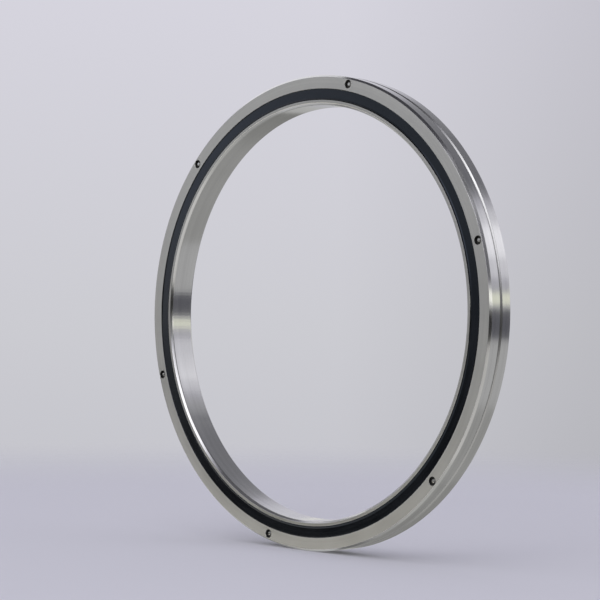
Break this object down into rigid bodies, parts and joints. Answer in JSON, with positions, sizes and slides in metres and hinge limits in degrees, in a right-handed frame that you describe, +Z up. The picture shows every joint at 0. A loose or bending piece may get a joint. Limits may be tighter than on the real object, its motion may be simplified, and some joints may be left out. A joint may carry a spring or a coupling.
{
  "type": "slewing ring bearing",
  "caption": "Thin-section slewing ring bearing: split outer ring held by recessed rivets, inner ring, face seals, caged crossed rollers and an oil groove round the rim.",
  "frame": {"origin": "centre of the bearing: on the axis, in the middle plane between the outer ring's two halves, which is the centre of the seat in the housing", "axes": "+Y along the bearing's axis from the front face to the rear face, +Z up, +X to the right seen from the front"},
  "size_m": [0.206, 0.013, 0.206],
  "materials": {
    "outer_ring_steel": "ground bearing steel, matt faces and a bright rim",
    "inner_ring_steel": "ground and polished bearing steel",
    "rivet_steel": "plain steel, turned ends",
    "roller_steel": "lapped bearing steel",
    "cage_brass": "machined brass",
    "seal_rubber": "black nitrile rubber, satin"
  },
  "bodies": {
    "outer_ring": {"outer_ring_front": "outer_ring_steel", "outer_ring_rear": "outer_ring_steel", "seal_front": "seal_rubber", "seal_rear": "seal_rubber", "ring_rivet_1": "rivet_steel", "ring_rivet_2": "rivet_steel", "ring_rivet_3": "rivet_steel", "ring_rivet_4": "rivet_steel", "ring_rivet_5": "rivet_steel", "ring_rivet_6": "rivet_steel"},
    "inner_ring": {"inner_ring": "inner_ring_steel"},
    "cage": {"roller_cage": "cage_brass"},
    "roller_01": {"roller_01": "roller_steel"},
    "roller_02": {"roller_02": "roller_steel"},
    "roller_03": {"roller_03": "roller_steel"},
    "roller_04": {"roller_04": "roller_steel"},
    "roller_05": {"roller_05": "roller_steel"},
    "roller_06": {"roller_06": "roller_steel"},
    "roller_07": {"roller_07": "roller_steel"},
    "roller_08": {"roller_08": "roller_steel"},
    "roller_09": {"roller_09": "roller_steel"},
    "roller_10": {"roller_10": "roller_steel"},
    "roller_11": {"roller_11": "roller_steel"},
    "roller_12": {"roller_12": "roller_steel"},
    "roller_13": {"roller_13": "roller_steel"},
    "roller_14": {"roller_14": "roller_steel"},
    "roller_15": {"roller_15": "roller_steel"},
    "roller_16": {"roller_16": "roller_steel"},
    "roller_17": {"roller_17": "roller_steel"},
    "roller_18": {"roller_18": "roller_steel"},
    "roller_19": {"roller_19": "roller_steel"},
    "roller_20": {"roller_20": "roller_steel"},
    "roller_21": {"roller_21": "roller_steel"},
    "roller_22": {"roller_22": "roller_steel"},
    "roller_23": {"roller_23": "roller_steel"},
    "roller_24": {"roller_24": "roller_steel"},
    "roller_25": {"roller_25": "roller_steel"},
    "roller_26": {"roller_26": "roller_steel"},
    "roller_27": {"roller_27": "roller_steel"},
    "roller_28": {"roller_28": "roller_steel"},
    "roller_29": {"roller_29": "roller_steel"},
    "roller_30": {"roller_30": "roller_steel"},
    "roller_31": {"roller_31": "roller_steel"},
    "roller_32": {"roller_32": "roller_steel"},
    "roller_33": {"roller_33": "roller_steel"},
    "roller_34": {"roller_34": "roller_steel"},
    "roller_35": {"roller_35": "roller_steel"},
    "roller_36": {"roller_36": "roller_steel"},
    "roller_37": {"roller_37": "roller_steel"},
    "roller_38": {"roller_38": "roller_steel"},
    "roller_39": {"roller_39": "roller_steel"},
    "roller_40": {"roller_40": "roller_steel"},
    "roller_41": {"roller_41": "roller_steel"},
    "roller_42": {"roller_42": "roller_steel"},
    "roller_43": {"roller_43": "roller_steel"},
    "roller_44": {"roller_44": "roller_steel"},
    "roller_45": {"roller_45": "roller_steel"},
    "roller_46": {"roller_46": "roller_steel"},
    "roller_47": {"roller_47": "roller_steel"},
    "roller_48": {"roller_48": "roller_steel"}
  },
  "joints": [
    {"name": "inner_ring_spin", "type": "hinge", "parent": "outer_ring", "child": "inner_ring", "pos_m": [0, 0, 0], "axis": [0, 1, 0], "continuous": true},
    {"name": "cage_orbit", "type": "hinge", "parent": "outer_ring", "child": "cage", "pos_m": [0, 0, 0], "axis": [0, 1, 0], "continuous": true},
    {"name": "roller_01_spin", "type": "hinge", "parent": "cage", "child": "roller_01", "pos_m": [0, 0, 0.095], "axis": [0, -0.7071, 0.7071], "continuous": true},
    {"name": "roller_02_spin", "type": "hinge", "parent": "cage", "child": "roller_02", "pos_m": [0.0124, 0, 0.09419], "axis": [0.0923, 0.7071, 0.7011], "continuous": true},
    {"name": "roller_03_spin", "type": "hinge", "parent": "cage", "child": "roller_03", "pos_m": [0.02459, 0, 0.09176], "axis": [0.183, -0.7071, 0.683], "continuous": true},
    {"name": "roller_04_spin", "type": "hinge", "parent": "cage", "child": "roller_04", "pos_m": [0.03635, 0, 0.08777], "axis": [0.2706, 0.7071, 0.6533], "continuous": true},
    {"name": "roller_05_spin", "type": "hinge", "parent": "cage", "child": "roller_05", "pos_m": [0.0475, 0, 0.08227], "axis": [0.3536, -0.7071, 0.6124], "continuous": true},
    {"name": "roller_06_spin", "type": "hinge", "parent": "cage", "child": "roller_06", "pos_m": [0.05783, 0, 0.07537], "axis": [0.4305, 0.7071, 0.561], "continuous": true},
    {"name": "roller_07_spin", "type": "hinge", "parent": "cage", "child": "roller_07", "pos_m": [0.06718, 0, 0.06718], "axis": [0.5, -0.7071, 0.5], "continuous": true},
    {"name": "roller_08_spin", "type": "hinge", "parent": "cage", "child": "roller_08", "pos_m": [0.07537, 0, 0.05783], "axis": [0.561, 0.7071, 0.4305], "continuous": true},
    {"name": "roller_09_spin", "type": "hinge", "parent": "cage", "child": "roller_09", "pos_m": [0.08227, 0, 0.0475], "axis": [0.6124, -0.7071, 0.3536], "continuous": true},
    {"name": "roller_10_spin", "type": "hinge", "parent": "cage", "child": "roller_10", "pos_m": [0.08777, 0, 0.03635], "axis": [0.6533, 0.7071, 0.2706], "continuous": true},
    {"name": "roller_11_spin", "type": "hinge", "parent": "cage", "child": "roller_11", "pos_m": [0.09176, 0, 0.02459], "axis": [0.683, -0.7071, 0.183], "continuous": true},
    {"name": "roller_12_spin", "type": "hinge", "parent": "cage", "child": "roller_12", "pos_m": [0.09419, 0, 0.0124], "axis": [0.7011, 0.7071, 0.0923], "continuous": true},
    {"name": "roller_13_spin", "type": "hinge", "parent": "cage", "child": "roller_13", "pos_m": [0.095, 0, 0], "axis": [0.7071, -0.7071, 0], "continuous": true},
    {"name": "roller_14_spin", "type": "hinge", "parent": "cage", "child": "roller_14", "pos_m": [0.09419, 0, -0.0124], "axis": [0.7011, 0.7071, -0.0923], "continuous": true},
    {"name": "roller_15_spin", "type": "hinge", "parent": "cage", "child": "roller_15", "pos_m": [0.09176, 0, -0.02459], "axis": [0.683, -0.7071, -0.183], "continuous": true},
    {"name": "roller_16_spin", "type": "hinge", "parent": "cage", "child": "roller_16", "pos_m": [0.08777, 0, -0.03635], "axis": [0.6533, 0.7071, -0.2706], "continuous": true},
    {"name": "roller_17_spin", "type": "hinge", "parent": "cage", "child": "roller_17", "pos_m": [0.08227, 0, -0.0475], "axis": [0.6124, -0.7071, -0.3536], "continuous": true},
    {"name": "roller_18_spin", "type": "hinge", "parent": "cage", "child": "roller_18", "pos_m": [0.07537, 0, -0.05783], "axis": [0.561, 0.7071, -0.4305], "continuous": true},
    {"name": "roller_19_spin", "type": "hinge", "parent": "cage", "child": "roller_19", "pos_m": [0.06718, 0, -0.06718], "axis": [0.5, -0.7071, -0.5], "continuous": true},
    {"name": "roller_20_spin", "type": "hinge", "parent": "cage", "child": "roller_20", "pos_m": [0.05783, 0, -0.07537], "axis": [0.4305, 0.7071, -0.561], "continuous": true},
    {"name": "roller_21_spin", "type": "hinge", "parent": "cage", "child": "roller_21", "pos_m": [0.0475, 0, -0.08227], "axis": [0.3536, -0.7071, -0.6124], "continuous": true},
    {"name": "roller_22_spin", "type": "hinge", "parent": "cage", "child": "roller_22", "pos_m": [0.03635, 0, -0.08777], "axis": [0.2706, 0.7071, -0.6533], "continuous": true},
    {"name": "roller_23_spin", "type": "hinge", "parent": "cage", "child": "roller_23", "pos_m": [0.02459, 0, -0.09176], "axis": [0.183, -0.7071, -0.683], "continuous": true},
    {"name": "roller_24_spin", "type": "hinge", "parent": "cage", "child": "roller_24", "pos_m": [0.0124, 0, -0.09419], "axis": [0.0923, 0.7071, -0.7011], "continuous": true},
    {"name": "roller_25_spin", "type": "hinge", "parent": "cage", "child": "roller_25", "pos_m": [0, 0, -0.095], "axis": [0, -0.7071, -0.7071], "continuous": true},
    {"name": "roller_26_spin", "type": "hinge", "parent": "cage", "child": "roller_26", "pos_m": [-0.0124, 0, -0.09419], "axis": [-0.0923, 0.7071, -0.7011], "continuous": true},
    {"name": "roller_27_spin", "type": "hinge", "parent": "cage", "child": "roller_27", "pos_m": [-0.02459, 0, -0.09176], "axis": [-0.183, -0.7071, -0.683], "continuous": true},
    {"name": "roller_28_spin", "type": "hinge", "parent": "cage", "child": "roller_28", "pos_m": [-0.03635, 0, -0.08777], "axis": [-0.2706, 0.7071, -0.6533], "continuous": true},
    {"name": "roller_29_spin", "type": "hinge", "parent": "cage", "child": "roller_29", "pos_m": [-0.0475, 0, -0.08227], "axis": [-0.3536, -0.7071, -0.6124], "continuous": true},
    {"name": "roller_30_spin", "type": "hinge", "parent": "cage", "child": "roller_30", "pos_m": [-0.05783, 0, -0.07537], "axis": [-0.4305, 0.7071, -0.561], "continuous": true},
    {"name": "roller_31_spin", "type": "hinge", "parent": "cage", "child": "roller_31", "pos_m": [-0.06718, 0, -0.06718], "axis": [-0.5, -0.7071, -0.5], "continuous": true},
    {"name": "roller_32_spin", "type": "hinge", "parent": "cage", "child": "roller_32", "pos_m": [-0.07537, 0, -0.05783], "axis": [-0.561, 0.7071, -0.4305], "continuous": true},
    {"name": "roller_33_spin", "type": "hinge", "parent": "cage", "child": "roller_33", "pos_m": [-0.08227, 0, -0.0475], "axis": [-0.6124, -0.7071, -0.3536], "continuous": true},
    {"name": "roller_34_spin", "type": "hinge", "parent": "cage", "child": "roller_34", "pos_m": [-0.08777, 0, -0.03635], "axis": [-0.6533, 0.7071, -0.2706], "continuous": true},
    {"name": "roller_35_spin", "type": "hinge", "parent": "cage", "child": "roller_35", "pos_m": [-0.09176, 0, -0.02459], "axis": [-0.683, -0.7071, -0.183], "continuous": true},
    {"name": "roller_36_spin", "type": "hinge", "parent": "cage", "child": "roller_36", "pos_m": [-0.09419, 0, -0.0124], "axis": [-0.7011, 0.7071, -0.0923], "continuous": true},
    {"name": "roller_37_spin", "type": "hinge", "parent": "cage", "child": "roller_37", "pos_m": [-0.095, 0, 0], "axis": [-0.7071, -0.7071, 0], "continuous": true},
    {"name": "roller_38_spin", "type": "hinge", "parent": "cage", "child": "roller_38", "pos_m": [-0.09419, 0, 0.0124], "axis": [-0.7011, 0.7071, 0.0923], "continuous": true},
    {"name": "roller_39_spin", "type": "hinge", "parent": "cage", "child": "roller_39", "pos_m": [-0.09176, 0, 0.02459], "axis": [-0.683, -0.7071, 0.183], "continuous": true},
    {"name": "roller_40_spin", "type": "hinge", "parent": "cage", "child": "roller_40", "pos_m": [-0.08777, 0, 0.03635], "axis": [-0.6533, 0.7071, 0.2706], "continuous": true},
    {"name": "roller_41_spin", "type": "hinge", "parent": "cage", "child": "roller_41", "pos_m": [-0.08227, 0, 0.0475], "axis": [-0.6124, -0.7071, 0.3536], "continuous": true},
    {"name": "roller_42_spin", "type": "hinge", "parent": "cage", "child": "roller_42", "pos_m": [-0.07537, 0, 0.05783], "axis": [-0.561, 0.7071, 0.4305], "continuous": true},
    {"name": "roller_43_spin", "type": "hinge", "parent": "cage", "child": "roller_43", "pos_m": [-0.06718, 0, 0.06718], "axis": [-0.5, -0.7071, 0.5], "continuous": true},
    {"name": "roller_44_spin", "type": "hinge", "parent": "cage", "child": "roller_44", "pos_m": [-0.05783, 0, 0.07537], "axis": [-0.4305, 0.7071, 0.561], "continuous": true},
    {"name": "roller_45_spin", "type": "hinge", "parent": "cage", "child": "roller_45", "pos_m": [-0.0475, 0, 0.08227], "axis": [-0.3536, -0.7071, 0.6124], "continuous": true},
    {"name": "roller_46_spin", "type": "hinge", "parent": "cage", "child": "roller_46", "pos_m": [-0.03635, 0, 0.08777], "axis": [-0.2706, 0.7071, 0.6533], "continuous": true},
    {"name": "roller_47_spin", "type": "hinge", "parent": "cage", "child": "roller_47", "pos_m": [-0.02459, 0, 0.09176], "axis": [-0.183, -0.7071, 0.683], "continuous": true},
    {"name": "roller_48_spin", "type": "hinge", "parent": "cage", "child": "roller_48", "pos_m": [-0.0124, 0, 0.09419], "axis": [-0.0923, 0.7071, 0.7011], "continuous": true}
  ],
  "couplings": [
    {"joint": "cage_orbit", "follows": "inner_ring_spin", "ratio": 0.49256},
    {"joint": "roller_01_spin", "follows": "inner_ring_spin", "ratio": 23.745},
    {"joint": "roller_02_spin", "follows": "inner_ring_spin", "ratio": -23.745},
    {"joint": "roller_03_spin", "follows": "inner_ring_spin", "ratio": 23.745},
    {"joint": "roller_04_spin", "follows": "inner_ring_spin", "ratio": -23.745},
    {"joint": "roller_05_spin", "follows": "inner_ring_spin", "ratio": 23.745},
    {"joint": "roller_06_spin", "follows": "inner_ring_spin", "ratio": -23.745},
    {"joint": "roller_07_spin", "follows": "inner_ring_spin", "ratio": 23.745},
    {"joint": "roller_08_spin", "follows": "inner_ring_spin", "ratio": -23.745},
    {"joint": "roller_09_spin", "follows": "inner_ring_spin", "ratio": 23.745},
    {"joint": "roller_10_spin", "follows": "inner_ring_spin", "ratio": -23.745},
    {"joint": "roller_11_spin", "follows": "inner_ring_spin", "ratio": 23.745},
    {"joint": "roller_12_spin", "follows": "inner_ring_spin", "ratio": -23.745},
    {"joint": "roller_13_spin", "follows": "inner_ring_spin", "ratio": 23.745},
    {"joint": "roller_14_spin", "follows": "inner_ring_spin", "ratio": -23.745},
    {"joint": "roller_15_spin", "follows": "inner_ring_spin", "ratio": 23.745},
    {"joint": "roller_16_spin", "follows": "inner_ring_spin", "ratio": -23.745},
    {"joint": "roller_17_spin", "follows": "inner_ring_spin", "ratio": 23.745},
    {"joint": "roller_18_spin", "follows": "inner_ring_spin", "ratio": -23.745},
    {"joint": "roller_19_spin", "follows": "inner_ring_spin", "ratio": 23.745},
    {"joint": "roller_20_spin", "follows": "inner_ring_spin", "ratio": -23.745},
    {"joint": "roller_21_spin", "follows": "inner_ring_spin", "ratio": 23.745},
    {"joint": "roller_22_spin", "follows": "inner_ring_spin", "ratio": -23.745},
    {"joint": "roller_23_spin", "follows": "inner_ring_spin", "ratio": 23.745},
    {"joint": "roller_24_spin", "follows": "inner_ring_spin", "ratio": -23.745},
    {"joint": "roller_25_spin", "follows": "inner_ring_spin", "ratio": 23.745},
    {"joint": "roller_26_spin", "follows": "inner_ring_spin", "ratio": -23.745},
    {"joint": "roller_27_spin", "follows": "inner_ring_spin", "ratio": 23.745},
    {"joint": "roller_28_spin", "follows": "inner_ring_spin", "ratio": -23.745},
    {"joint": "roller_29_spin", "follows": "inner_ring_spin", "ratio": 23.745},
    {"joint": "roller_30_spin", "follows": "inner_ring_spin", "ratio": -23.745},
    {"joint": "roller_31_spin", "follows": "inner_ring_spin", "ratio": 23.745},
    {"joint": "roller_32_spin", "follows": "inner_ring_spin", "ratio": -23.745},
    {"joint": "roller_33_spin", "follows": "inner_ring_spin", "ratio": 23.745},
    {"joint": "roller_34_spin", "follows": "inner_ring_spin", "ratio": -23.745},
    {"joint": "roller_35_spin", "follows": "inner_ring_spin", "ratio": 23.745},
    {"joint": "roller_36_spin", "follows": "inner_ring_spin", "ratio": -23.745},
    {"joint": "roller_37_spin", "follows": "inner_ring_spin", "ratio": 23.745},
    {"joint": "roller_38_spin", "follows": "inner_ring_spin", "ratio": -23.745},
    {"joint": "roller_39_spin", "follows": "inner_ring_spin", "ratio": 23.745},
    {"joint": "roller_40_spin", "follows": "inner_ring_spin", "ratio": -23.745},
    {"joint": "roller_41_spin", "follows": "inner_ring_spin", "ratio": 23.745},
    {"joint": "roller_42_spin", "follows": "inner_ring_spin", "ratio": -23.745},
    {"joint": "roller_43_spin", "follows": "inner_ring_spin", "ratio": 23.745},
    {"joint": "roller_44_spin", "follows": "inner_ring_spin", "ratio": -23.745},
    {"joint": "roller_45_spin", "follows": "inner_ring_spin", "ratio": 23.745},
    {"joint": "roller_46_spin", "follows": "inner_ring_spin", "ratio": -23.745},
    {"joint": "roller_47_spin", "follows": "inner_ring_spin", "ratio": 23.745},
    {"joint": "roller_48_spin", "follows": "inner_ring_spin", "ratio": -23.745}
  ]
}
